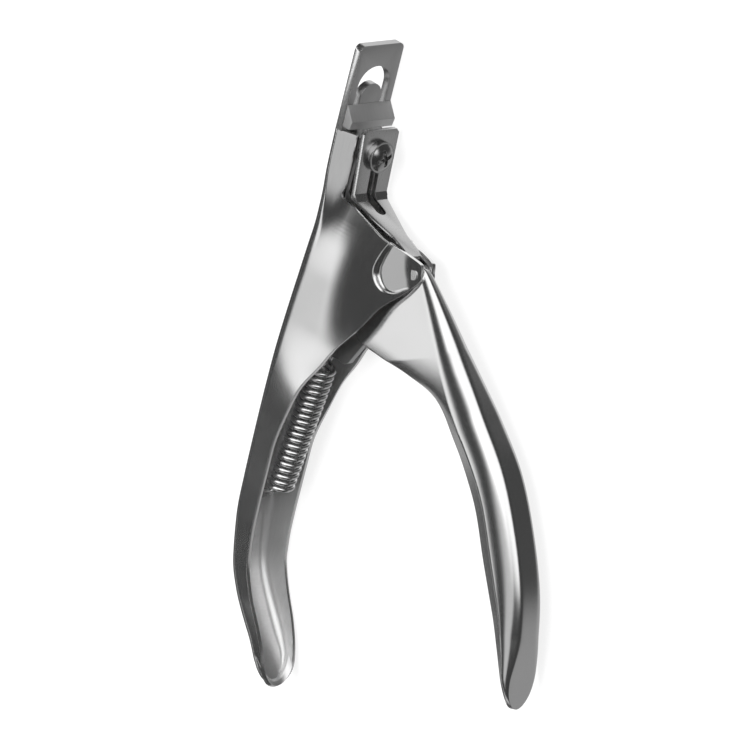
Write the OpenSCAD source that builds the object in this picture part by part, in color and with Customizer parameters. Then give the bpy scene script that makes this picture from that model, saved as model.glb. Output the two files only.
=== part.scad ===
// Nail tip cutter, also sold as an acrylic nail clipper: a stamped steel channel handle, a stamped
// lever handle, a slotted head plate and a blade that slides up across the slot.
// The tool lies on its side. +X runs across the tool from the main handle to the lever, +Y runs
// up the head, +Z is the side of the tool that lies uppermost.
// Outlines are written in the head's own axes: x = 0 on the front face of the head plate,
// y = 0 near the channel's top edge, z = 0 in the mid-plane of the tool. placed() moves them.

/* [Sheet] */
// Thickness of the stamped handle sheet
sheet = 0.75; // [0.6:0.05:0.9]
// Thickness of the cover strap
strap_t = 0.79; // [0.6:0.01:0.8]
// Running clearance round a shaft
run_gap = 0.04; // [0.02:0.01:0.08]

/* [Main handle] */
// Half width of the channel's back at the head, and of the head plate above it
head_half_w = 5.45; // [5.4:0.05:5.6]
// Half width of the channel's back along the grip
grip_half_w = 4.6; // [4.3:0.1:4.7]
// Half gap between the two pressed-in pads
pad_half_gap = 1.75; // [1.7:0.05:1.9]
// Radius of the round part of each pad
pad_r = 3.7; // [3.2:0.1:3.8]

/* [Head] */
// Thickness of the head plate
plate_t = 1.62; // [1.4:0.02:1.62]
// Half width of the head plate's foot, inside the channel
foot_half_w = 3.85; // [3.6:0.05:3.9]
// Height of the head plate above y = 0
plate_top = 16.6; // [15:0.2:18]
// Half width of the nail slot
slot_half_w = 3.95; // [3.6:0.05:4.2]
// Half width of the tongue in the nail slot
tongue_half_w = 2.55; // [2.2:0.05:2.7]
// Height of the blade's cutting edge at rest
edge_y = 5.0; // [4.6:0.1:5.2]

/* [Pivot] */
// Pivot axis, across the tool
pivot_x = 22.9; // [22.5:0.1:23.3]
// Pivot axis, along the tool
pivot_y = -19.3; // [-19.6:0.1:-19.0]
// Radius of the pivot pin
pin_r = 0.95; // [0.8:0.05:0.95]

/* [Drive] */
// Length of the drive arm from the pivot to the drive pin
arm_len = 21.6; // [21.2:0.1:22]
// Swing of the lever from open to closed, in degrees
swing = 19.2; // [18:0.2:20]
// Radius of the rollers on the drive pin
roller_r = 1.3; // [1.1:0.05:1.4]

/* [Spring] */
// Mean radius of the return spring's coil
coil_r = 2.3; // [2.0:0.05:2.4]
// Radius of the spring's wire
wire_r = 0.45; // [0.35:0.05:0.5]
// Number of turns in the coil
coil_turns = 21; // [18:1:24]

/* [Hidden] */

$fn = 48;
big = 60;
eps = 0.01;

// The origin is on the head plate's lower side face, at this point of the head's own axes.
origin_x = -0.8;
origin_y = 8;

// Main handle: outer line of the spine from the head to the rounded end.
spine_line = [[-2.4, 0.6], [-2.4, -5], [-2.4, -10.5], [-2.75, -16], [-3.6, -26], [-5.0, -42],
    [-5.2, -53], [-5.2, -62], [-5.0, -72], [-4.6, -79], [-2.6, -88], [0.0, -93], [3.5, -97.4],
    [7.6, -102], [9.6, -105], [11, -107.7]];
// Front edge of each side wall, from the head over the pivot corner to the end of the grip.
wall_edge = [[2.4, -0.3], [2.8, -10.6], [2.3, -12.2], [5.4, -12.9], [15.5, -16.0], [20.8, -16.4],
    [24.2, -17.1], [24.7, -20.0], [17.9, -28.2], [14.7, -33.8], [10.5, -40], [8.5, -44],
    [5.5, -49.5], [3.7, -55.4], [2.1, -62], [1.9, -68], [1.9, -79], [2.4, -84.4], [3.1, -87.6],
    [5.5, -92.3], [8.4, -96.6], [10.7, -100.7], [12, -104.6], [12.8, -107.2]];
// Heights at which the channel's section is set out.
stations = [-0.3, -5, -10.6, -12.2, -12.9, -14.5, -16.0, -16.4, -17.1, -18.5, -20.0, -22.5, -25.4, -28.2,
    -31, -33.8, -37, -40, -44, -46.8, -49.5, -52.5, -55.4, -58.7, -62, -68, -72, -75.5, -79, -84.4,
    -87.6, -90, -92.3, -94.5, -96.6, -98.7, -100.7, -102, -103.3, -104.6, -105.6, -106.6];
// Half width at the back corners, half width at the front edges and corner radius, by height.
back_w = [[0, head_half_w], [-10, head_half_w], [-26, 5.35], [-42, 4.8], [-60, grip_half_w],
    [-96, grip_half_w], [-102, 4.2], [-105.4, 3.2], [-107.2, 1.9]];
front_w = [[0, 3.4], [-10.6, 3.6], [-12.8, 4.1], [-16.0, 3.6], [-17.1, 2.5], [-20, 2.4], [-28, 3.4], [-34, 4.1],
    [-44, grip_half_w + 0.27], [-96, grip_half_w + 0.27], [-102, 4.3], [-105.4, 3.3], [-107.2, 2.0]];
corner_r = [[0, 1.2], [-10, 1.2], [-26, 2.7], [-102, 2.7], [-105.4, 1.6], [-107.2, 1.3]];
pad_c = [18.4, -21.4];
pad_floor = pad_half_gap + 0.72;
pin_end = pad_half_gap + 0.4;
pad_inset = 0.12;

// Lever: outer line of the spine from the pivot to the tip, and the free edge of its walls.
lever_line = [[24.6, -18.4], [31.3, -22.9], [39.2, -29.1], [48.4, -36.5], [56.6, -43.9],
    [63.1, -53], [68.2, -62.8], [70.7, -71.8], [71.5, -79.7], [71.9, -84.6]];
lever_edge = [[71.0, -84.6], [70.2, -80.6], [64.6, -69.7], [58.6, -60.3], [52.6, -50.9],
    [44.1, -42.7], [36.9, -37.9], [28.2, -37], [13.5, -37], [11.6, -33], [11.6, -28],
    [15.2, -23.4], [20, -20.6], [22.5, -18.9]];
// Half width of the lever at a distance from the pivot along the lever's own direction.
lever_angle = -40;
lever_plan = [[-30, 1.4], [3.1, 1.4], [10.6, 2.4], [19, 3.35], [30, 4.3], [40, 4.5], [60, 4.5],
    [72, 4.1], [76, 3.4], [78.6, 2.3], [79.9, 1.0]];
eye_r = 1.65;
eye_clear = 2.1;
arm_half_t = 0.6;

// Cover strap: front face from the top edge to the bend and on to the curl round the pin.
strap_top = [4.9, 1.65];
strap_bend = [5.9, -11.4];
strap_half_w = [4.4, 4.05, 1.6];
strap_slot_half_w = 1.1;
curl_r = pin_r + 0.01 + strap_t;
strap_lean = atan2(strap_bend[0] - strap_top[0], strap_top[1] - strap_bend[1]);
strap_fall = -20.6;

// Screw axis: square to the strap, through the plate.
screw_y = -3.3;
screw_seat = strap_top[0] + (strap_top[1] - screw_y) * tan(strap_lean);
screw_r = 1.25;
sleeve_r = 1.65;
sleeve_flange_r = 2.3;
head_r = 3.0;
head_h = 2.3;
nut_r = 2.0;
nut_head_r = 3.1;

// Drive: the pin starts half a swing below the level of the pivot and ends as far above it.
drive_x = pivot_x - arm_len * cos(swing / 2);
drive_y = pivot_y - arm_len * sin(swing / 2);
travel = 2 * arm_len * sin(swing / 2);
drive_pin_r = 0.75;

// Blade and carrier.
blade_gap = 0.04;
ridge = [2.15, 2.35];
blade_low = 0.75;
tang_x = 1.06;
carrier_x = 2.06;
carrier_half_w = 2.5;
ear_in = 1.25;
ear_out = 2.25;
blade_rivet_r = 0.55;
blade_rivet_z = 1.65;

// Return spring: its axis in the channel, from the anchor to the tab on the lever.
coil_low = [1.35, -72.6];
coil_high = [4.75, -45.2];
coil_len = norm(coil_high - coil_low);
coil_lean = atan2(coil_low[0] - coil_high[0], coil_high[1] - coil_low[1]);
hook_r = 1.45;
anchor_way = [-0.9, -0.436];
anchor_hole = coil_low + anchor_way * 2 * hook_r;
tab_hole = coil_high + [sin(-coil_lean), cos(-coil_lean)] * 2 * hook_r;

// One point of a smooth curve through four points, at t from the second to the third.
function blend_point(a, b, c, d, t) =
    0.5 * (2 * b + (c - a) * t + (2 * a - 5 * b + 4 * c - d) * t * t
        + (3 * b - a - 3 * c + d) * t * t * t);

// A smooth curve through points, with n steps between neighbours.
function smooth(points, n) = let (last = len(points) - 1) concat(
    [for (i = [0 : last - 1]) for (k = [0 : n - 1])
        blend_point(points[max(i - 1, 0)], points[i], points[i + 1], points[min(i + 2, last)], k / n)],
    [points[last]]);

// The unit direction of a line at point i.
function heading(points, i) = let (d = points[min(i + 1, len(points) - 1)] - points[max(i - 1, 0)])
    d / norm(d);

// A line moved sideways by t, to its left as it runs.
function moved(points, t) = [for (i = [0 : len(points) - 1])
    let (h = heading(points, i)) points[i] + t * [-h[1], h[0]]];

// A closed outline of a plan: half widths less a wall, mirrored about the middle.
function plan_outline(plan, wall) = concat(
    [for (p = plan) [p[0], max(p[1] - wall, 0.05)]],
    [for (i = [len(plan) - 1 : -1 : 0]) [plan[i][0], -max(plan[i][1] - wall, 0.05)]]);

// The x of a line at height y, for a line that runs one way along the tool.
function x_at(points, y) = lookup(y, [for (p = points) [p[1], p[0]]]);

// Points on an arc.
function arc(c, r, a0, a1, n) = [for (k = [0 : n]) let (a = a0 + (a1 - a0) * k / n)
    c + r * [cos(a), sin(a)]];

handle_spine = smooth(spine_line, 3);
lever_spine = smooth(lever_line, 4);

// Moves the head's own axes to the part's frame.
module placed() {
    translate([-origin_x, -origin_y, head_half_w]) children();
}

// A slab of the outline, from z = -half to z = half.
module slab(points, half) {
    translate([0, 0, -half]) linear_extrude(2 * half) polygon(points);
}

// A prism of a plan outline that starts at the pivot and runs in a direction.
module plan_from_pivot(points, angle) {
    translate([pivot_x, pivot_y, 0]) rotate([0, 0, angle]) translate([0, 2 * big, 0])
        rotate([90, 0, 0]) linear_extrude(4 * big) polygon(points);
}

// A round bar across the tool.
module cross_bar(at, r, low, high) {
    translate([at[0], at[1], low]) cylinder(h = high - low, r = r);
}

// A round bar along X from the head's own x = low to high.
module front_bar(y, z, r, low, high) {
    translate([low, y, z]) rotate([0, 90, 0]) cylinder(h = high - low, r = r);
}

// A round bar on the screw's axis, measured from the strap's front face outwards.
module screw_bar(r, low, high) {
    translate([screw_seat, screw_y, 0]) rotate([0, 0, strap_lean]) rotate([0, 90, 0])
        translate([0, 0, low]) cylinder(h = high - low, r = r);
}

// Outline of the pressed-in pad: a round dish that opens towards the pivot corner.
module pad_outline(r) {
    translate(pad_c) circle(r);
    polygon([pad_c + r * [cos(160), sin(160)], [16.2 - (r - pad_r), -15], [18, -14], [27, -15],
        [27, -20], pad_c + r * [cos(-36.7), sin(-36.7)]]);
}

// Half of the channel's section at height y, less a wall t: the corner from the back round to
// the side, then the front edge. Points are [x, z].
spine_inner = moved(handle_spine, sheet);
function half_section(y, t, short = 0) = let (
    back = x_at(t > 0 ? spine_inner : handle_spine, y),
    front = x_at(wall_edge, y) - short,
    half = lookup(y, back_w) - t,
    r = max(min(lookup(y, corner_r) - t, half - 0.2, front - back - 0.3), 0.4))
    concat(arc([back + r, half - r], r, 180, 90, 4), [[front, lookup(y, front_w) - t]]);
function mirrored(points) = [for (i = [len(points) - 1 : -1 : 0]) [points[i][0], -points[i][1]]];
function ring(y, t, short = 0) = concat(mirrored(half_section(y, t, short)), half_section(y, t, short));
function shell_ring(y) = let (inner = ring(y, sheet))
    concat(ring(y, 0), [for (i = [len(inner) - 1 : -1 : 0]) inner[i]]);

// A solid skinned over one closed ring per station, in triangles.
module lofted(rings) {
    n = len(rings[0]);
    last = len(rings) - 1;
    points = [for (i = [0 : last]) for (p = rings[i]) [p[0], stations[i], p[1]]];
    skin = [for (i = [0 : last - 1]) for (k = [0 : n - 1]) let (m = (k + 1) % n, a = i * n + k,
        b = (i + 1) * n + k, c = (i + 1) * n + m, d = i * n + m) each [[a, c, b], [a, d, c]]];
    polyhedron(points, concat(skin, [[for (k = [n - 1 : -1 : 0]) k], [for (k = [0 : n - 1]) last * n + k]]));
}

// The steel that fills a pad from its floor out to the side wall, and the dish cut into it.
module pad_block() {
    intersection() {
        translate([0, 0, pad_half_gap]) linear_extrude(4.6 - pad_half_gap) pad_outline(pad_r + 0.7);
        lofted([for (y = stations) ring(y, pad_inset, pad_inset)]);
    }
}

module pad_dish() {
    translate([0, 0, pad_floor]) linear_extrude(6) pad_outline(pad_r);
}

module main_handle() {
    placed() color([0.72, 0.72, 0.74]) difference() {
        union() {
            lofted([for (y = stations) shell_ring(y)]);
            pad_block();
            mirror([0, 0, 1]) pad_block();
        }
        pad_dish();
        mirror([0, 0, 1]) pad_dish();
        cross_bar([pivot_x, pivot_y], pin_r, -pin_end, pin_end);
        screw_bar(nut_r, -big, big / 4);
        for (z = [-3, 3]) front_bar(-8, z, 0.9, -10, 3);
    }
}

// Outline of the head plate as seen from the front: first along the tool, then across it.
module plate_outline() {
    corner = 1.2;
    difference() {
        union() {
            translate([-9.6, -foot_half_w]) square([10, 2 * foot_half_w]);
            translate([-0.28, -head_half_w]) square([plate_top + 0.28 - corner, 2 * head_half_w]);
            translate([0, corner - head_half_w]) square([plate_top, 2 * (head_half_w - corner)]);
            for (side = [-1, 1])
                translate([plate_top - corner, side * (head_half_w - corner)]) circle(corner);
        }
        difference() {
            union() {
                translate([12.3 - slot_half_w, 0]) circle(slot_half_w);
                translate([2.6, -slot_half_w]) square([9.7 - slot_half_w, 2 * slot_half_w]);
            }
            translate([8.8 - tongue_half_w, 0]) circle(tongue_half_w);
            translate([2, -tongue_half_w]) square([6.8 - tongue_half_w, 2 * tongue_half_w]);
        }
    }
}

module head_plate() {
    placed() color([0.6, 0.6, 0.62]) difference() {
        translate([-plate_t, 0, 0]) rotate([90, 0, 90]) linear_extrude(plate_t) plate_outline();
        screw_bar(nut_r, -big, big / 4);
        for (z = [-3, 3]) front_bar(-8, z, 0.9, -10, 3);
    }
}

module plate_rivets() {
    placed() color([0.55, 0.55, 0.57]) for (z = [-3, 3]) {
        front_bar(-8, z, 0.9, -2.3, 0);
        translate([-2.3, -8, z]) scale([0.4, 1, 1]) sphere(1.4);
    }
}

// The strap before its edges are trimmed: two straight legs and the curl round the pin.
module strap_blank() {
    down = [sin(strap_lean), -cos(strap_lean)];
    along = [cos(strap_fall), sin(strap_fall)];
    out = [-sin(strap_fall), cos(strap_fall)];
    pivot = [pivot_x, pivot_y];
    foot = pivot + curl_r * out;
    foot_in = foot - strap_t * out;
    inner_bend = strap_bend - strap_t * [cos(strap_lean), sin(strap_lean)];
    bend_in = foot_in - along * ((foot_in[0] - inner_bend[0]) / along[0] + 0.1);
    slab([strap_top, strap_bend - 0.9 * down, strap_bend + 0.9 * along, foot + 0.05 * along,
        foot_in + 0.05 * along, bend_in, strap_top - [strap_t / cos(strap_lean), 0]], 5);
    difference() {
        cross_bar(pivot, curl_r, -5, 5);
        cross_bar(pivot, curl_r - strap_t, -6, 6);
        slab([pivot, pivot + 9 * out, pivot + [-9, 9], pivot + [-9, -1.5], pivot + [-0.9, -1.5]], 7);
    }
}

module cover_strap() {
    placed() color([0.66, 0.66, 0.68]) difference() {
        strap_blank();
        plan_cut_top();
        plan_cut_fall();
        screw_bar(screw_r + 0.05, -5, 5);
        translate([0, -13, -strap_slot_half_w]) cube([9.2, 8, 2 * strap_slot_half_w]);
        translate([5, -14.5, -strap_slot_half_w]) cube([4.2, 3.6, 2 * strap_slot_half_w]);
        translate([9.2, -9, 0]) rotate([90, 0, 0]) cylinder(h = 8, r = strap_slot_half_w);
        translate([pivot_x - 2.2, pivot_y - 3, -0.95]) cube([8, 6, 1.9]);
    }
}

// What is trimmed from the strap's upright leg, and from its sloping leg.
module plan_cut_top() {
    plan_side = [[3, 5.2], [3, strap_half_w[0] - 0.7], [strap_top[1], strap_half_w[0] - 0.7],
        [strap_top[1] - 0.7, strap_half_w[0]], [strap_bend[1] + 0.2, strap_half_w[1]],
        [strap_bend[1] + 0.2, 5.2]];
    for (side = [-1, 1]) translate([-5, 0, 0]) rotate([0, 90, 0]) linear_extrude(14)
        polygon([for (p = plan_side) [side * p[1], p[0]]]);
}

module plan_cut_fall() {
    plan_side = [[4, 5.2], [4, strap_half_w[1]], [strap_bend[0], strap_half_w[1]],
        [15.6, strap_half_w[2]], [26, strap_half_w[2]], [26, 5.2]];
    for (side = [-1, 1]) translate([0, strap_bend[1] + 0.3, 0]) rotate([90, 0, 0]) linear_extrude(14)
        polygon([for (p = plan_side) [p[0], side * p[1]]]);
}

module strap_screw() {
    placed() color([0.7, 0.7, 0.72]) difference() {
        union() {
            screw_bar(screw_r, -7.4, 0.2);
            screw_bar(head_r, 0, head_h * 0.55);
            intersection() {
                screw_bar(head_r, 0.1, head_h);
                translate([screw_seat, screw_y, 0]) rotate([0, 0, strap_lean])
                    translate([-1.6, 0, 0]) sphere(head_h + 1.6);
            }
        }
        translate([screw_seat, screw_y, 0]) rotate([0, 0, strap_lean]) translate([head_h - 1.1, 0, 0])
            rotate([20, 0, 0]) for (turn = [0, 90]) rotate([turn, 0, 0])
                translate([0, -1.7, -0.35]) cube([3, 3.4, 0.7]);
    }
}

module screw_sleeve() {
    placed() color([0.62, 0.62, 0.64]) difference() {
        union() {
            intersection() {
                screw_bar(sleeve_r, -7, -strap_t - 0.1);
                translate([0, -10, -5]) cube([3, 12, 10]);
            }
            intersection() {
                screw_bar(sleeve_flange_r, -7, -strap_t - 0.1);
                translate([carrier_x + 0.1, -10, -5]) cube([4, 12, 10]);
            }
        }
        screw_bar(screw_r, -8, 2);
    }
}

module rivet_nut() {
    placed() color([0.58, 0.58, 0.6]) difference() {
        intersection() {
            union() {
                screw_bar(nut_r, -9, 0);
                screw_bar(nut_head_r, -9, -7.75);
            }
            translate([-2.95, -10, -5]) cube([2.95, 12, 10]);
        }
        screw_bar(screw_r, -7.45, 2);
    }
}

module pivot_pin() {
    placed() color([0.6, 0.6, 0.62]) cross_bar([pivot_x, pivot_y], pin_r, -pin_end, pin_end);
}

module spring_anchor() {
    placed() color([0.6, 0.6, 0.62]) difference() {
        union() {
            slab([[-4.4, -77.4], [-3.9, -77.4], anchor_hole - [0, 1.05], anchor_hole + [0, 1.05],
                [-3.9, -70.6], [-4.4, -70.6]], 0.4);
            cross_bar(anchor_hole, 1.05, -0.4, 0.4);
        }
        cross_bar(anchor_hole, 0.65, -2, 2);
    }
}

module lever_handle() {
    placed() color([0.78, 0.78, 0.8]) difference() {
        intersection() {
            slab(concat(lever_spine, lever_edge), 5);
            plan_from_pivot(plan_outline(lever_plan, 0), lever_angle);
        }
        intersection() {
            slab(concat(moved(lever_spine, -sheet), [[60, -90], [-5, -90], [-5, -12], [22, -16]]), 6);
            plan_from_pivot(plan_outline(lever_plan, sheet), lever_angle);
        }
        cross_bar([pivot_x, pivot_y], eye_clear, -big, big);
        for (at = arm_rivet_at) cross_bar(at, 0.9, -big, big);
        for (at = tab_rivet_at) cross_bar(at, 0.7, -big, big);
    }
}

arm_rivet_at = [[14.6, -26.0], [17.6, -23.6]];
tab_rivet_at = [[12.9, -29.5], [13.2, -32.4]];

// Outline of the drive arm: the eye on the pivot pin, the nose, and the root inside the lever.
arm_outline = concat([[23.9, -18.5], [24.9, -19.9], [29.4, -23.0], [29.2, -26.2], [24.6, -30.2], [17.6, -30.2],
    [12.6, -26.6]], arc([drive_x, drive_y], 1.7, 255, 90, 10), [[9, -20.2], [21.4, -18.9]]);

module drive_arm() {
    placed() color([0.5, 0.5, 0.52]) difference() {
        union() {
            slab(arm_outline, arm_half_t);
            cross_bar([pivot_x, pivot_y], eye_r, -0.9, 0.9);
        }
        cross_bar([pivot_x, pivot_y], pin_r + run_gap, -2, 2);
        cross_bar([drive_x, drive_y], drive_pin_r, -2, 2);
        for (at = arm_rivet_at) cross_bar(at, 0.9, -2, 2);
    }
}

module arm_rivets() {
    placed() color([0.6, 0.6, 0.62]) for (at = arm_rivet_at) cross_bar(at, 0.9, -1.35, 1.35);
}

module spring_tab() {
    placed() color([0.55, 0.55, 0.57]) difference() {
        union() {
            slab([[11.8, -28.3], [14.2, -28.6], [14.9, -35.5], [11.3, -42.1], [8.1, -40.4],
                [11.4, -34.6]], 0.6);
            cross_bar([9.7, -41.2], 1.85, -0.6, 0.6);
            slab([[10.9, -42.6], tab_hole + [0.5, -1.0], tab_hole + [-0.6, 0.9], [8.0, -40.6]], 0.4);
            cross_bar(tab_hole, 1.2, -0.4, 0.4);
        }
        cross_bar(tab_hole, 0.65, -2, 2);
        for (at = tab_rivet_at) cross_bar(at, 0.7, -2, 2);
    }
}

module tab_rivets() {
    placed() color([0.6, 0.6, 0.62]) for (at = tab_rivet_at) cross_bar(at, 0.7, -1.4, 1.4);
}

module drive_pin() {
    placed() color([0.6, 0.6, 0.62]) cross_bar([drive_x, drive_y], drive_pin_r, -2.5, 2.5);
}

module drive_rollers() {
    placed() color([0.65, 0.65, 0.67]) for (side = [-1, 1]) difference() {
        cross_bar([drive_x, drive_y], roller_r, side > 0 ? 0.95 : -2.35, side > 0 ? 2.35 : -0.95);
        cross_bar([drive_x, drive_y], drive_pin_r + eps, -4, 4);
    }
}

module blade() {
    placed() color([0.8, 0.8, 0.82]) difference() {
        union() {
            slab([[blade_gap, edge_y], [blade_gap, blade_low], [ridge[0] - 0.3, blade_low], ridge],
                head_half_w);
            slab([[tang_x, blade_low + 0.1], [tang_x, -1.0], [carrier_x, -1.0],
                [carrier_x - 0.1, blade_low + 0.1]], carrier_half_w);
        }
        for (z = [-1, 1]) front_bar(-0.15, z * blade_rivet_z, blade_rivet_r, -2, 5);
    }
}

module blade_rivets() {
    placed() color([0.6, 0.6, 0.62]) for (z = [-1, 1])
        front_bar(-0.15, z * blade_rivet_z, blade_rivet_r, blade_gap, carrier_x - 0.02);
}

module blade_carrier() {
    slot_high = screw_y + sleeve_r + 0.35;
    slot_low = screw_y - travel - sleeve_r - 0.85;
    slot_r = sleeve_r + run_gap;
    placed() color([0.58, 0.58, 0.6]) difference() {
        union() {
            slab([[blade_gap, blade_low], [blade_gap, -1.1], [tang_x, -1.1], [tang_x, blade_low]],
                carrier_half_w);
            slab([[blade_gap, -1.0], [blade_gap, -20], [carrier_x, -20], [carrier_x, -1.0]],
                carrier_half_w);
            for (side = [-1, 1]) carrier_ear(side);
        }
        translate([-1, slot_low + slot_r, -slot_r]) cube([5, slot_high - slot_low - 2 * slot_r, 2 * slot_r]);
        front_bar(slot_low + slot_r, 0, slot_r, -1, 4);
        front_bar(slot_high - slot_r, 0, slot_r, -1, 4);
        for (z = [-1, 1]) front_bar(-0.15, z * blade_rivet_z, blade_rivet_r, -2, 5);
        translate([-4, drive_y - 3.6, -ear_in]) cube([10, 6.2, 2 * ear_in]);
        for (x = [-0.34, 0.1]) cross_bar([drive_x + x, drive_y], roller_r + run_gap, -5, 5);
        translate([drive_x - 0.34, drive_y - roller_r - run_gap, -5])
            cube([0.44, 2 * (roller_r + run_gap), 10]);
    }
}

// One ear of the carrier, folded back square to the bar, that a roller runs in.
module carrier_ear(side) {
    translate([0, 0, side * (ear_in + ear_out) / 2])
        slab([[-1.5, -26], [-1.5, -19.5], [blade_gap, -17.5], [3.8, -17.5], [3.8, -25.2], [3, -26]],
            (ear_out - ear_in) / 2);
}

// The spring's centre line in the coil's own axes: a hook, the turns, and the other hook. The
// turns grow out of the axis over the first half turn, and shrink back to it over the last.
function swell(turn) = let (e = min(turn, coil_turns - turn, 0.5) * 2) e * e * (3 - 2 * e);
function hook_point(angle, from, way) = let (far = hook_r * (1 - cos(angle)))
    [way[0] * far, hook_r * sin(angle), from + way[1] * far];
low_way = [cos(coil_lean) * anchor_way[0] + sin(coil_lean) * anchor_way[1],
    cos(coil_lean) * anchor_way[1] - sin(coil_lean) * anchor_way[0]];
coil_steps = 12;
spring_path = concat(
    [for (a = [-310 : 25 : -10]) hook_point(a, 0, low_way)],
    [for (i = [0 : coil_turns * coil_steps]) let (turn = i / coil_steps)
        [coil_r * swell(turn) * cos(360 * turn), -coil_r * swell(turn) * sin(360 * turn),
            coil_len * turn / coil_turns]],
    [for (a = [10 : 25 : 310]) hook_point(a, coil_len, [0, 1])]);

// The side direction of the wire at each point, carried along the path without twist.
function unit(v) = v / norm(v);
function tangent(path, i) = unit(path[min(i + 1, len(path) - 1)] - path[max(i - 1, 0)]);
function square_to(v, t) = unit(v - (v * t) * t);
wire_sides = [for (i = 0, side = [0, 1, 0]; i < len(spring_path); i = i + 1,
    side = i < len(spring_path) ? square_to(side, tangent(spring_path, i)) : side) side];

module wire(path, sides_list, r) {
    sides = 6;
    last = len(path) - 1;
    points = [for (i = [0 : last]) let (up = cross(tangent(path, i), sides_list[i]))
        for (k = [0 : sides - 1]) let (b = 360 * k / sides)
            path[i] + r * (cos(b) * sides_list[i] + sin(b) * up)];
    skin = [for (i = [0 : last - 1]) for (k = [0 : sides - 1]) let (n = (k + 1) % sides, a = i * sides + k,
        b = (i + 1) * sides + k, c = (i + 1) * sides + n, d = i * sides + n) each [[a, b, c], [a, c, d]]];
    polyhedron(points, concat(skin, [[for (k = [0 : sides - 1]) k],
        [for (k = [sides - 1 : -1 : 0]) last * sides + k]]));
}

module return_spring() {
    placed() color([0.75, 0.75, 0.77])
        translate([coil_low[0], coil_low[1], 0]) rotate([0, 0, coil_lean]) rotate([-90, 0, 0])
            wire(spring_path, wire_sides, wire_r);
}

main_handle();
head_plate();
plate_rivets();
cover_strap();
strap_screw();
screw_sleeve();
rivet_nut();
pivot_pin();
spring_anchor();
lever_handle();
drive_arm();
arm_rivets();
spring_tab();
tab_rivets();
drive_pin();
drive_rollers();
blade();
blade_carrier();
blade_rivets();
return_spring();
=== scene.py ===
import bmesh
import bpy
import numpy as np
from mathutils import Matrix, Vector


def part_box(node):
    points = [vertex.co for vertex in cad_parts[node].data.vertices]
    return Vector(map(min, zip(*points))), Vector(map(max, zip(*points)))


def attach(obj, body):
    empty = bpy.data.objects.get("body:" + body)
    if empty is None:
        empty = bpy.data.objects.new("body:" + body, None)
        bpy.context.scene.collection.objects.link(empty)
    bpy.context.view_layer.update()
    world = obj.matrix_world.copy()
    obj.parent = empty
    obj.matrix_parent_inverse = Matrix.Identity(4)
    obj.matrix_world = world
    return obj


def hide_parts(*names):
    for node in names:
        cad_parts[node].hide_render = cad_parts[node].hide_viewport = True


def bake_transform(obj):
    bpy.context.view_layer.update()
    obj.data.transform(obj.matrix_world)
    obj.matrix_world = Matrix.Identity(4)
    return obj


# A nail tip cutter that lies on its side: two stamped steel handles, a slotted head plate and a
# ground blade, with a coil spring between the handles. Lengths are in millimetres and are made
# metres as they go into a mesh. x runs across to the lever, y up the head, z up from the floor.
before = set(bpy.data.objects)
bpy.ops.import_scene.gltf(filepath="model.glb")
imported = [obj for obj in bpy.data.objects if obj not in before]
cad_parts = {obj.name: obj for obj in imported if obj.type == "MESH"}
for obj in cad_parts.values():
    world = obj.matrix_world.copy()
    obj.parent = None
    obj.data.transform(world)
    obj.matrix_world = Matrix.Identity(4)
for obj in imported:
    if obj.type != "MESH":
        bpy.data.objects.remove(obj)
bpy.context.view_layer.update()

# ---- Studio: a pale sweep under the tool, with one wide softbox over the main handle's side and
# one behind the lever, which the bright steel mirrors as bands of light and dark.
room_dark = 0.05
key_light = 1.15
back_light = 1.3
overhead_light = 0.55
side_light = 0.5


class Value:
    """A socket of a node tree. Arithmetic on it adds the Math node that does it."""

    def __init__(self, tree, socket):
        self.tree = tree
        self.socket = socket

    def math(self, operation, other, swapped=False):
        pair = [other, self] if swapped else [self, other]
        return node(self.tree, "ShaderNodeMath", {"operation": operation}, pair)

    def __add__(self, other):
        return self.math("ADD", other)

    def __radd__(self, other):
        return self.math("ADD", other, True)

    def __sub__(self, other):
        return self.math("SUBTRACT", other)

    def __rsub__(self, other):
        return self.math("SUBTRACT", other, True)

    def __mul__(self, other):
        return self.math("MULTIPLY", other)

    def __rmul__(self, other):
        return self.math("MULTIPLY", other, True)

    def step(self, low, high):
        """0 below low, 1 above high, and a soft S between them."""
        settings = {"interpolation_type": "SMOOTHSTEP"}
        return node(self.tree, "ShaderNodeMapRange", settings, [self, low, high, 0.0, 1.0])


def node(tree, kind, settings, values, output=0):
    """Adds a node, sets its properties, feeds its inputs and returns one output."""
    made = tree.nodes.new(kind)
    for name, setting in settings.items():
        setattr(made, name, setting)
    pairs = values.items() if isinstance(values, dict) else enumerate(values)
    for place, value in pairs:
        if isinstance(value, Value):
            tree.links.new(value.socket, made.inputs[place])
        elif value is not None:
            made.inputs[place].default_value = value
    return Value(tree, made.outputs[output])


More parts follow.
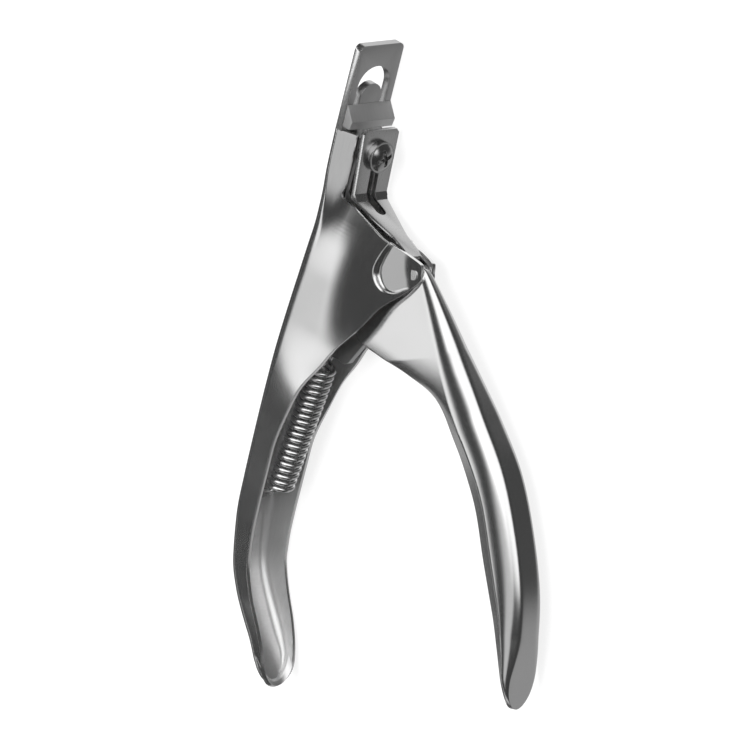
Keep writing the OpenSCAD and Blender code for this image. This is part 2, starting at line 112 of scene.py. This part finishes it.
def studio_sky():
    """Brightness by direction: a dark room with a key softbox to -x and -y, one behind at +y, weak
    ones overhead and low at the side, and a floor that is brighter to -x. The camera sees white."""
    world = bpy.data.worlds.new("studio")
    bpy.context.scene.world = world
    world.use_nodes = True
    tree = world.node_tree
    tree.nodes.clear()
    direction = node(tree, "ShaderNodeTexCoord", {}, [])
    parts = tree.nodes.new("ShaderNodeSeparateXYZ")
    tree.links.new(direction.socket, parts.inputs[0])
    x, y, z = (Value(tree, parts.outputs[i]) for i in range(3))
    along = -0.66 * x + 0.55 * y - 0.5 * z
    beside = -0.2 * x - 0.77 * y - 0.58 * z
    key_across = beside.step(-0.3, -0.12) * (1 - beside.step(0.03, 0.07))
    key = along.step(-0.25, -0.15) * key_across * z.step(0.15, 0.4) * key_light
    behind = y.step(0.08, 0.42) * z.step(0.05, 0.3) * x.step(-0.3, -0.05) * back_light
    overhead = z.step(0.78, 0.9) * x.step(-0.25, 0.05) * overhead_light
    low_side = beside.step(0.3, 0.45) * z.step(0.0, 0.3) * side_light
    upper = room_dark + key + behind + overhead + low_side
    far = 0.07 + (0.7 - 0.3 * x) * (1 - x.step(-0.2, 0.25))
    near = 0.42 - 0.12 * x
    toward_back = y.step(-0.1, 0.25)
    lower = near + (far - near) * toward_back
    down = 1 - z.step(-0.5, -0.25)
    seen = upper + (lower - upper) * down
    camera = node(tree, "ShaderNodeLightPath", {}, [])
    shown = seen + (1 - seen) * camera
    out = node(tree, "ShaderNodeBackground", {}, {"Color": shown, "Strength": 1.0})
    last = tree.nodes.new("ShaderNodeOutputWorld")
    tree.links.new(out.socket, last.inputs[0])


studio_sky()
bpy.context.scene.view_settings.view_transform = "Standard"


def soft_lamp(name, place, aim, size, power):
    """A square area lamp at place, in metres, turned to aim."""
    lamp = bpy.data.lights.new(name, "AREA")
    lamp.shape = "SQUARE"
    lamp.size = size
    lamp.energy = power
    holder = bpy.data.objects.new(name, lamp)
    bpy.context.collection.objects.link(holder)
    turn = (Vector(aim) - Vector(place)).to_track_quat("-Z", "Y")
    holder.matrix_world = Matrix.Translation(place) @ turn.to_matrix().to_4x4()
    holder.visible_glossy = False


soft_lamp("overhead_fill", (-0.3, 0.2, 1.5), (0.02, -0.04, 0), 1.6, 34)


def sweep():
    """The floor: a wide level square just under the tool."""
    half = 6.0
    below = -0.00005
    corners = [(-half, -half, below), (half, -half, below), (half, half, below), (-half, half, below)]
    mesh = bpy.data.meshes.new("sweep")
    mesh.from_pydata(corners, [], [(0, 1, 2, 3)])
    floor = bpy.data.objects.new("sweep", mesh)
    bpy.context.collection.objects.link(floor)
    paper = bpy.data.materials.new("sweep_paper")
    paper.use_nodes = True
    tree = paper.node_tree
    shader = tree.nodes["Principled BSDF"]
    place = node(tree, "ShaderNodeTexCoord", {}, [], 3)
    grain = node(tree, "ShaderNodeTexNoise", {}, {"Vector": place, "Scale": 40.0, "Detail": 3.0})
    tone = grain * 0.01 + 0.25
    tree.links.new(tone.socket, shader.inputs["Base Color"])
    shader.inputs["Roughness"].default_value = 0.9
    shader.inputs["Emission Color"].default_value = (1, 1, 1, 1)
    shader.inputs["Emission Strength"].default_value = 0.8
    floor.data.materials.append(paper)
    floor.visible_glossy = False


sweep()

# ---- Camera: from above the lever's side, half way up, far enough off to be nearly square on.
# The head's own axes start on the front face of its plate, head_reach below the top, half way
# across the plate's width.
head_reach = 16.6
head_low, head_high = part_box("head_plate")
head_middle = (head_low[2] + head_high[2]) / 2
head_zero = np.array([head_high[0] * 1000, head_high[1] * 1000 - head_reach, head_middle * 1000])


def placed(points):
    """Points in the head's own axes, in millimetres, as metres in the frame."""
    return (np.asarray(points, float) + head_zero) / 1000


camera_back = Vector((0.634, 0.353, 0.689)).normalized()
camera_right = Vector((0.656, 0.227, -0.720)).normalized()
camera_up = camera_back.cross(camera_right)
camera_aim = Vector(placed([19.79, -40.45, 2.51]))
camera_away = 3.04
lens = bpy.data.cameras.new("camera")
lens.sensor_width = 36
lens.lens = 800
lens.clip_end = 30
camera = bpy.data.objects.new("camera", lens)
bpy.context.collection.objects.link(camera)
turn = Matrix((camera_right, camera_up, camera_back)).transposed().to_4x4()
camera.matrix_world = Matrix.Translation(camera_aim + camera_back * camera_away) @ turn
bpy.context.scene.camera = camera

# ---- Main handle: one stamped channel of 0.75 mm stainless sheet. A rounded back, two side walls
# that lean in at the head and run out into a wing that carries the pivot, and a tongue at the end.
# Each wing has a round pad pressed into it where it holds the pivot pin.
sheet = 0.75


def soft_line(table, at, reach):
    """A table read at many places by straight lines, then averaged over reach either side."""
    table = np.array(table, float)
    table = table[np.argsort(table[:, 0])]
    offsets = np.linspace(-reach, reach, 9)
    return np.mean([np.interp(at + o, table[:, 0], table[:, 1]) for o in offsets], axis=0)


def curve(points, share):
    """A smooth curve through points, read at shares of its length: each stretch is the cubic whose
    slope at a point is half the chord between its neighbours. Returns its places, for each given
    point how far along it lies from 0 to 1, and the curve's length."""
    p = np.array(points, float)
    p = np.vstack([2 * p[0] - p[1], p, 2 * p[-1] - p[-2]])
    a, b, c, d = p[:-3, None], p[1:-2, None], p[2:-1, None], p[3:, None]
    t = np.linspace(0, 1, 40, endpoint=False)[None, :, None]
    bend = (2 * a - 5 * b + 4 * c - d) * t**2
    twist = (3 * b - a - 3 * c + d) * t**3
    line = 0.5 * (2 * b + (c - a) * t + bend + twist)
    line = np.vstack([line.reshape(-1, p.shape[1]), p[-2]])
    run = np.concatenate([[0], np.cumsum(np.linalg.norm(np.diff(line, axis=0), axis=1))])
    knots = run[::40] / run[-1]
    at = share * run[-1]
    return np.stack([np.interp(at, run, line[:, i]) for i in range(p.shape[1])], 1), knots, run[-1]


def rows_to_tip(points, count, tip, fine_from=0.0, fine_to=0.0, fine_share=0.0):
    """Shares of a curve's length for its rows. The given part of the rows lies evenly between
    fine_from and fine_to, and the rest outside them. Over the last tip millimetres the rows take
    the steps of a quarter circle. Also gives the height of that circle at each row."""
    length = curve(points, np.zeros(1))[2]
    angle = np.linspace(0, np.pi / 2, 26)[1:]
    last = 1 - tip / length
    coarse = (1 - fine_share) / (last - fine_to + fine_from)
    rows_at = [0, fine_from * coarse, fine_from * coarse + fine_share, 1]
    even = np.interp(np.linspace(0, 1, count), rows_at, [0, fine_from, fine_to, last])
    share = np.concatenate([even, 1 - tip * (1 - np.sin(angle)) / length])
    height = np.concatenate([np.ones(count), np.maximum(np.cos(angle), 0.004)])
    return share, height


def polyline(points, at):
    """Places at the given fractional indices along a line of points."""
    points = np.array(points, float)
    index = np.arange(len(points))
    return np.stack([np.interp(at, index, points[:, i]) for i in range(points.shape[1])], -1)


def bumped_tree(material, base, rough, streaks, bump):
    """Brushed or ground steel. Fine noise drawn out along one axis gives the brush marks, and a
    broad noise clouds the polish; both feed colour and roughness, and the fine one also a small bump."""
    material.use_nodes = True
    tree = material.node_tree
    shader = tree.nodes["Principled BSDF"]
    shader.inputs["Metallic"].default_value = 1.0
    place = node(tree, "ShaderNodeTexCoord", {}, [], 3)
    drawn = node(tree, "ShaderNodeMapping", {}, {"Vector": place, "Scale": streaks})
    marks = {"Vector": drawn, "Scale": 1.0, "Detail": 4.0, "Roughness": 0.6}
    fine = node(tree, "ShaderNodeTexNoise", {}, marks)
    broad = node(tree, "ShaderNodeTexNoise", {}, {"Vector": place, "Scale": 150.0, "Detail": 3.0})
    tone = base * (0.9 + fine * 0.16 + broad * 0.05)
    tree.links.new(tone.socket, shader.inputs["Base Color"])
    roughness = rough * (0.72 + fine * 0.34 + broad * 0.24)
    tree.links.new(roughness.socket, shader.inputs["Roughness"])
    relief = node(tree, "ShaderNodeBump", {}, {"Strength": bump, "Distance": 0.00003, "Height": fine})
    tree.links.new(relief.socket, shader.inputs["Normal"])
    return material


def new_piece(name, points, faces, material, body, replaced):
    """A mesh object from points in the head's own axes, with its finish. It rides a body, unless
    body is None, and takes the place of a CAD piece."""
    mesh = bpy.data.meshes.new(name)
    mesh.from_pydata(placed(points), [], faces)
    mesh.update()
    piece = bpy.data.objects.new(name, mesh)
    bpy.context.collection.objects.link(piece)
    mesh.materials.append(material)
    mesh.polygons.foreach_set("use_smooth", np.ones(len(mesh.polygons), bool))
    if body:
        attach(piece, body)
    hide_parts(replaced)
    return piece


def grid_faces(rows, columns):
    """Quads between the points of a grid, row by row."""
    i, j = np.meshgrid(np.arange(rows - 1), np.arange(columns - 1), indexing="ij")
    a = (i * columns + j).ravel()
    return np.stack([a, a + columns, a + columns + 1, a + 1], 1).tolist()


inner_sheet = bumped_tree(bpy.data.materials.new("inner_sheet"), 0.93, 0.44, (5000.0, 300.0, 900.0), 0.3)
# Cut edges are brighter steel than the faces: partly the sheared edge's own shine, partly a painted
# highlight.
sheared_edge_highlight = bumped_tree(bpy.data.materials.new("sheared_edge_highlight"), 0.95, 0.24, (2500.0, 2500.0, 2500.0), 0.15)


def walled(piece, wall, edge):
    """Gives a sheet its wall, inwards, and rounds its cut edges a little. The inner face keeps the
    mill's duller finish, and the cut edge takes brighter steel: partly its sheared shine, partly a painted
    highlight."""
    piece.data.materials.append(inner_sheet)
    piece.data.materials.append(sheared_edge_highlight)
    solid = piece.modifiers.new("wall", "SOLIDIFY")
    solid.material_offset = 1
    solid.material_offset_rim = 2
    solid.thickness = wall / 1000
    solid.offset = -1
    solid.use_even_offset = False
    solid.use_quality_normals = True
    round_over = piece.modifiers.new("edge", "BEVEL")
    round_over.width = edge / 1000
    round_over.segments = 2
    round_over.limit_method = "ANGLE"
    round_over.angle_limit = 0.9


main_spine = [[-2.4, -0.3], [-2.4, -5], [-2.4, -10], [-2.75, -16], [-3.6, -26], [-5.0, -42], [-5.2, -53],
              [-5.2, -62], [-5.0, -72], [-4.6, -79], [-2.6, -88], [0, -93], [3.5, -97.4], [7.6, -102],
              [9.6, -105], [11.3, -107.6]]
# The front edge, each point with the number of the back's point that it stands across from.
main_edge = [[2.4, -0.3, 0], [2.7, -9.6, 1.9], [2.75, -10.8, 2.1], [2.45, -12.1, 2.35], [3.3, -12.6, 2.45],
             [5.4, -12.9, 2.55], [9.2, -13.95, 2.8], [12, -14.85, 2.92], [15.3, -15.85, 3.05],
             [20.8, -16.3, 3.25], [23.7, -16.8, 3.34], [24.3, -17.4, 3.4], [24.6, -18.6, 3.5],
             [24.7, -19.9, 3.6], [22.1, -23.5, 3.82], [17.9, -28.2, 4.15], [14.7, -33.8, 4.5],
             [10.5, -40, 4.87], [8.5, -44, 5.18], [5.5, -49.5, 5.68], [3.7, -55.4, 6.26], [2.1, -62, 7.0],
             [1.9, -68, 7.6], [1.9, -79, 9.0], [2.4, -84.4, 9.6], [3.1, -87.6, 9.97], [5.5, -92.3, 10.9],
             [8.4, -96.6, 11.9], [10.7, -100.7, 12.75], [12, -104.6, 13.7], [12.3, -107.9, 15]]
main_half = [[0, 5.45], [-10, 5.45], [-42, 4.9], [-60, 4.5], [-96, 4.5], [-108, 4.2]]
head_lean = [[0, 0.51], [-9, 0.5], [-13, 0.32], [-19, 0.08], [-25, 0.0], [-108, 0.0]]
wing_lean = [[0, 0.0], [-9, 0.0], [-17, 0.19], [-29, 0.19], [-34, 0.15], [-40, 0.06], [-46, 0.0], [-108, 0]]
grip_flare = [[0, 0.0], [-42, 0.0], [-52, 0.15], [-92, 0.15], [-108, 0.0]]
main_corner = [[0, 1.3], [-9, 1.5], [-20, 3.3], [-42, 3.0], [-60, 2.4], [-102, 2.4], [-108, 1.6]]
main_tip = 5.0
wing_from = 8.2
pad_c = np.array([18.3, -21.2])
pad_r = 3.75
pad_z = 2.7
pad_tilt = 0.055
pad_border = 0.6
left_bow = 0.028


def bell(t):
    """0 to 1 with level ends."""
    t = np.clip(t, 0, 1)
    return t * t * (3 - 2 * t)


def soft_ramp(t, reach):
    """0 below -reach, t above reach, and a parabola between them."""
    return np.where(t < -reach, 0, np.where(t > reach, t, (t + reach) ** 2 / (4 * reach)))


def soft_cap(t, top, reach):
    """t below top, top above it, and a parabola between them over reach either side."""
    return top - soft_ramp(top - t, reach)


def wall_height(x, y):
    """Half width of the main handle at a place on its side wall. From the back's half width it
    takes the head's lean over the first millimetres and the wing's lean past its fold, and adds
    the grip's flare. The pad is a round dish whose sides run straight to the wing's corners:
    inside its outline the wall drops to the pad's level over a rounded border."""
    back = np.interp(y, np.array(main_spine)[::-1, 1], np.array(main_spine)[::-1, 0])
    from_back = x - back - 1.2
    plain = (soft_line(main_half, y, 2.5) - soft_line(head_lean, y, 3.0) * soft_cap(from_back, 5.0, 2.0)
             - soft_line(wing_lean, y, 3.0) * soft_ramp(x - wing_from, 3.0)
             + soft_line(grip_flare, y, 3.0) * from_back)
    from_pad = np.stack([x, y], -1) - pad_c
    disc = np.linalg.norm(from_pad, axis=-1) - pad_r
    up_left_side = from_pad @ np.array([0.17, 0.985])
    left_side = from_pad @ np.array([-0.985, 0.17]) - pad_r + left_bow * up_left_side**2
    low_side = from_pad @ np.array([0.6, -0.8]) - pad_r
    beyond = -(from_pad @ np.array([0.522, 0.853])) - pad_r * 0.368
    inside = np.minimum(disc, np.maximum(np.maximum(left_side, low_side), beyond))
    drop = 1 - bell((inside + pad_border) / pad_border)
    level = pad_z - pad_tilt * (x - pad_c[0] + pad_r)
    gap = plain - level
    floor = level + gap - soft_ramp(gap, 0.1)
    return plain + (floor - plain) * drop


def main_shell():
    """The outer skin. Rows run down the handle; along a row the section goes from the far front
    edge round the back to the near one: wall, quarter-circle corner, flat back, corner, wall."""
    corner_n, wall_n, back_n = 8, 72, 3
    outline = [p[:2] for p in main_edge]
    share, height = rows_to_tip(outline, 255, main_tip, 0.1, 0.34, 0.6)
    edge_run, knots, _ = curve(outline, share)
    spine_at = np.interp(share, knots, [p[2] for p in main_edge])
    fine_spine, spine_knots, _ = curve(main_spine, np.linspace(0, 1, 600))
    spine_place = np.interp(spine_at, np.arange(len(main_spine)), spine_knots) * 599
    spine = polyline(fine_spine, spine_place)
    ahead = np.gradient(spine, axis=0)
    ahead /= np.linalg.norm(ahead, axis=1)[:, None]
    inward = np.stack([-ahead[:, 1], ahead[:, 0]], 1)
    across = edge_run - spine
    half = soft_line(main_half, spine[:, 1], 2.0)
    room = np.linalg.norm(across, axis=1)
    r = np.minimum(np.minimum(soft_line(main_corner, spine[:, 1], 1.5), half - 0.15), room * 0.55)
    turn = np.linspace(0, np.pi / 2, corner_n + 1)
    back_z = (half - r)[:, None] * np.linspace(0, 1, back_n + 1)[None, :-1]
    flat = np.concatenate([np.repeat(spine[:, None], back_n, 1), back_z[:, :, None]], 2)
    depth = r[:, None] * (1 - np.cos(turn))[None]
    bend_xy = spine[:, None] + inward[:, None] * depth[:, :, None]
    foot = bend_xy[:, -1]
    foot_z = wall_height(foot[:, 0], foot[:, 1])
    bend_z = (foot_z - r)[:, None] + r[:, None] * np.sin(turn)[None]
    bend = np.concatenate([bend_xy, bend_z[:, :, None]], 2)
    t = np.interp(np.linspace(0, 1, wall_n + 1)[1:], [0, 0.15, 0.3, 1], [0, 0.3, 0.52, 1])
    wall_xy = foot[:, None] + (edge_run - foot)[:, None] * t[None, :, None]
    wall_z = wall_height(wall_xy[..., 0], wall_xy[..., 1])
    wall = np.concatenate([wall_xy, wall_z[:, :, None]], 2)
    near = np.concatenate([flat, bend, wall], 1)
    near[..., 2] *= height[:, None]
    far = near[:, :0:-1] * np.array([1, 1, -1])
    ring = np.concatenate([far, near], 1)
    return ring.reshape(-1, 3), grid_faces(ring.shape[0], ring.shape[1])


brushed = bumped_tree(bpy.data.materials.new("brushed_sheet"), 0.74, 0.18, (5000.0, 350.0, 1600.0), 0.05)
points, faces = main_shell()
main_piece = new_piece("main_shell", points, faces, brushed, "main", "main_handle")
walled(main_piece, sheet, 0.09)

# ---- Lever: the squeezed handle, stamped from the same sheet. It widens from the pivot, its back
# is rounded into its walls, and it ends in a narrow rounded tongue that curls back a little.
lever_spine = [[23.4, -17.75], [24.9, -18.3], [31.3, -22.9], [39.2, -29.1], [48.4, -36.5], [56.6, -43.9],
               [63.1, -53], [68.2, -62.8], [70.7, -71.8], [71.5, -79.7], [71.9, -84.6]]
lever_edge = [[22.3, -18.9, 0], [21, -20.3, 0.4], [15.2, -24.4, 0.9], [11.6, -29, 1.3], [11.6, -33, 1.6],
              [12.4, -36.2, 2.0], [14.5, -37, 2.3], [20, -37.05, 2.6], [28.2, -37.0, 3.05],
              [36.9, -37.9, 3.6], [44.1, -42.7, 4.25], [52.6, -50.9, 5.3], [58.6, -60.3, 6.4],
              [64.6, -69.7, 7.5], [70.2, -80.6, 9.0], [71.2, -84.8, 10]]
lever_half = [[-30, 1.2], [0.8, 1.25], [3.1, 1.5], [10.6, 2.45], [19, 3.4], [30, 4.3], [40, 4.5], [60, 4.5],
              [72, 4.2], [82, 3.6]]
lever_round = [[0, 1.5], [12, 3.5], [26, 5.5], [60, 6.0], [82, 5.0]]
lever_tip = 6.5
pivot = np.array([22.9, -19.3])
lever_way = np.array([np.cos(np.radians(-40)), np.sin(np.radians(-40))])


def lever_width(place):
    """Half width by distance from the pivot along the lever."""
    return soft_line(lever_half, (place - pivot) @ lever_way, 1.5)


def lever_shell():
    """The outer skin, laid out as the main handle's: back, corners and walls. A corner is a
    quarter of an ellipse, deeper along the wall than it is wide."""
    corner_n, wall_n, back_n = 16, 30, 3
    outline = [p[:2] for p in lever_edge]
    share, height = rows_to_tip(outline, 240, lever_tip)
    edge_run, knots, _ = curve(outline, share)
    spine_at = np.interp(share, knots, [p[2] for p in lever_edge])
    fine_spine, spine_knots, _ = curve(lever_spine, np.linspace(0, 1, 600))
    spine = polyline(fine_spine, np.interp(spine_at, np.arange(len(lever_spine)), spine_knots) * 599)
    ahead = np.gradient(spine, axis=0)
    ahead /= np.linalg.norm(ahead, axis=1)[:, None]
    inward = np.stack([ahead[:, 1], -ahead[:, 0]], 1)
    half = lever_width(spine)
    room = np.linalg.norm(edge_run - spine, axis=1)
    r = np.minimum(np.minimum(2.9, half - 0.2), room * 0.62)
    deep = np.maximum(np.minimum(soft_line(lever_round, (spine - pivot) @ lever_way, 3.0), room * 0.7), r)
    turn = np.linspace(0, np.pi / 2, corner_n + 1)
    back_z = (half - r)[:, None] * np.linspace(0, 1, back_n + 1)[None, :-1]
    flat = np.concatenate([np.repeat(spine[:, None], back_n, 1), back_z[:, :, None]], 2)
    bend_xy = spine[:, None] + inward[:, None] * (deep[:, None] * (1 - np.cos(turn))[None])[:, :, None]
    foot = bend_xy[:, -1]
    foot_z = lever_width(foot)
    bend_z = (foot_z - r)[:, None] + r[:, None] * np.sin(turn)[None]
    bend = np.concatenate([bend_xy, bend_z[:, :, None]], 2)
    t = np.linspace(0, 1, wall_n + 1)[1:]
    wall_xy = foot[:, None] + (edge_run - foot)[:, None] * t[None, :, None]
    lean_in = np.interp((foot - pivot) @ lever_way, [16, 24, 36], [0.0, 0.08, 0.17])[:, None]
    from_foot = np.linalg.norm(wall_xy - foot[:, None], axis=2)
    to_edge = np.linalg.norm(wall_xy - edge_run[:, None], axis=2)
    roll = 0.1 * np.clip(1 - to_edge / 5, 0, 1) ** 2
    wall_z = np.maximum(lever_width(wall_xy) - lean_in * from_foot - roll, 0.9)
    wall = np.concatenate([wall_xy, wall_z[:, :, None]], 2)
    near = np.concatenate([flat, bend, wall], 1)
    near[..., 2] *= height[:, None]
    far = near[:, :0:-1] * np.array([1, 1, -1])
    ring = np.concatenate([far, near], 1)[:, ::-1]
    return ring.reshape(-1, 3), grid_faces(ring.shape[0], ring.shape[1])


polished = bumped_tree(bpy.data.materials.new("brushed_lever"), 0.76, 0.2, (900.0, 5000.0, 1600.0), 0.06)
points, faces = lever_shell()
lever_piece = new_piece("lever_shell", points, faces, polished, "lever", "lever_handle")
walled(lever_piece, sheet, 0.09)

# ---- Return spring: close-wound bright wire with a hook at each end. It hangs from a tab on the
# lever, inside the main handle, and pulls the lever open.
coil_low = np.array([1.35, -72.6])
coil_high = np.array([4.75, -45.2])
coil_r = 2.3
wire_r = 0.45
coil_turns = 21
hook_r = 1.45
lean = (coil_high - coil_low) / np.linalg.norm(coil_high - coil_low)
anchor_way = np.array([-0.9, -0.436])
low_way = [anchor_way[0] * lean[1] - anchor_way[1] * lean[0], anchor_way @ lean]


def spring_path():
    """A hook of three quarters of a circle, a helix that grows out of the axis over half a turn
    and shrinks back to it over the last, and the other hook. Columns: side, along, up."""
    length = np.linalg.norm(coil_high - coil_low)
    turn = np.linspace(0, coil_turns, coil_turns * 24 + 1)
    e = np.clip(np.minimum(turn, coil_turns - turn) * 2, 0, 1)
    swell = coil_r * e * e * (3 - 2 * e)
    angle = 2 * np.pi * turn
    coil = np.stack([swell * np.cos(angle), length * turn / coil_turns, -swell * np.sin(angle)], 1)
    a = np.radians(np.arange(10, 311, 12))
    away = hook_r - hook_r * np.cos(a)
    start = np.stack([away * low_way[0], away * low_way[1], hook_r * np.sin(a)], 1)[::-1]
    end = np.stack([0 * a, away + length, hook_r * np.sin(a)], 1)
    return np.vstack([start, coil, end])


def tube(path, radius, sides):
    """A round tube: a circle of points square to the path at each of its points, with its side
    direction carried along by removing what lies along the path."""
    ahead = np.gradient(path, axis=0)
    ahead /= np.linalg.norm(ahead, axis=1)[:, None]
    side = np.array([1.0, 0.0, 0.0])
    sides_at = []
    for direction in ahead:
        side = side - (side @ direction) * direction
        side = side / np.linalg.norm(side)
        sides_at.append(side)
    sides_at = np.array(sides_at)
    other = np.cross(ahead, sides_at)
    b = np.linspace(0, 2 * np.pi, sides, endpoint=False)[None, :, None]
    ring = path[:, None] + radius * (np.cos(b) * sides_at[:, None] + np.sin(b) * other[:, None])
    count = len(path)
    i, j = np.meshgrid(np.arange(count - 1), np.arange(sides), indexing="ij")
    k = (j + 1) % sides
    quads = np.stack([i * sides + j, i * sides + k, (i + 1) * sides + k, (i + 1) * sides + j], -1)
    caps = [list(range(sides))[::-1], list(range((count - 1) * sides, count * sides))]
    return ring.reshape(-1, 3), quads.reshape(-1, 4).tolist() + caps


spring_wire = bpy.data.materials.new("spring_wire")
drawn_wire = bumped_tree(spring_wire, 0.86, 0.16, (2500.0, 2500.0, 2500.0), 0.15)
path = spring_path()
in_frame = np.stack([coil_low[0] + path[:, 0] * lean[1] + path[:, 1] * lean[0],
                     coil_low[1] - path[:, 0] * lean[0] + path[:, 1] * lean[1], path[:, 2]], 1)
points, faces = tube(in_frame, wire_r, 12)
spring_piece = new_piece("spring_coil", points, faces, drawn_wire, None, "return_spring")
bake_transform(spring_piece)

# ---- Head, blade, strap and small steel parts: the CAD's own pieces, merged and with their edges
# eased, because a stamped, ground or turned edge always shows a fine bright line.


def eased(name, width, material, body, highlight_beyond=99.0):
    """A copy of a CAD piece with its doubles merged and its edges bevelled, in its place. Side
    faces further than the given distance from the mid-plane take the bright cut-edge steel, partly the
    sheared shine and partly a painted highlight on the lit outer sides; nearer side faces, such as slot
    walls, keep the piece's own steel."""
    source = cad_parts[name]
    mesh = source.data.copy()
    shape = bmesh.new()
    shape.from_mesh(mesh)
    bmesh.ops.remove_doubles(shape, verts=shape.verts, dist=1e-6)
    bmesh.ops.dissolve_limit(shape, angle_limit=0.02, verts=shape.verts, edges=shape.edges)
    shape.to_mesh(mesh)
    shape.free()
    mesh.materials.clear()
    mesh.materials.append(material)
    mesh.materials.append(sheared_edge_highlight)
    normals = np.zeros(len(mesh.polygons) * 3)
    mesh.polygons.foreach_get("normal", normals)
    centres = np.zeros(len(mesh.polygons) * 3)
    mesh.polygons.foreach_get("center", centres)
    # Painted highlight: only side faces far from the mid-plane, the lit outer sides, get the bright edge
    # steel; slot walls keep the piece's own steel.
    from_middle = np.abs(centres.reshape(-1, 3)[:, 2] * 1000 - head_zero[2])
    highlight_sides = (np.abs(normals.reshape(-1, 3)[:, 2]) > 0.9) & (from_middle > highlight_beyond)
    mesh.polygons.foreach_set("material_index", highlight_sides.astype(np.int32))
    mesh.polygons.foreach_set("use_smooth", np.ones(len(mesh.polygons), bool))
    piece = bpy.data.objects.new(name + "_eased", mesh)
    bpy.context.collection.objects.link(piece)
    bevel = piece.modifiers.new("edge", "BEVEL")
    bevel.width = width / 1000
    bevel.segments = 3
    bevel.limit_method = "ANGLE"
    bevel.angle_limit = 0.5
    bevel.harden_normals = True
    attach(piece, body)
    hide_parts(name)
    return piece


satin = bumped_tree(bpy.data.materials.new("satin_plate"), 0.56, 0.34, (700.0, 5000.0, 5000.0), 0.3)
strap_steel = bumped_tree(bpy.data.materials.new("strap_steel"), 0.6, 0.28, (5000.0, 700.0, 5000.0), 0.25)
ground = bumped_tree(bpy.data.materials.new("ground_blade"), 0.88, 0.55, (300.0, 300.0, 7000.0), 0.35)
turned = bumped_tree(bpy.data.materials.new("turned_steel"), 0.58, 0.26, (4000.0, 4000.0, 900.0), 0.2)
bright = bumped_tree(bpy.data.materials.new("bright_screw"), 0.52, 0.2, (2600.0, 2600.0, 2600.0), 0.1)

# The head plate's and strap's outer sides past 4.8 and 3.3 mm carry the painted edge highlight.
eased("head_plate", 0.2, satin, "main", 4.8)
eased("cover_strap", 0.12, strap_steel, "main", 3.3)
eased("strap_screw", 0.1, bright, "main")
eased("blade", 0.03, ground, "cutter")
eased("blade_carrier", 0.08, satin, "cutter")
eased("spring_tab", 0.12, satin, "lever")
eased("drive_arm", 0.1, satin, "lever")
eased("rivet_nut", 0.12, turned, "main")

for name in ("plate_rivets", "screw_sleeve", "pivot_pin", "spring_anchor", "arm_rivets", "tab_rivets",
             "drive_pin", "drive_rollers", "blade_rivets"):
    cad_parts[name].data.materials.clear()
    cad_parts[name].data.materials.append(turned)
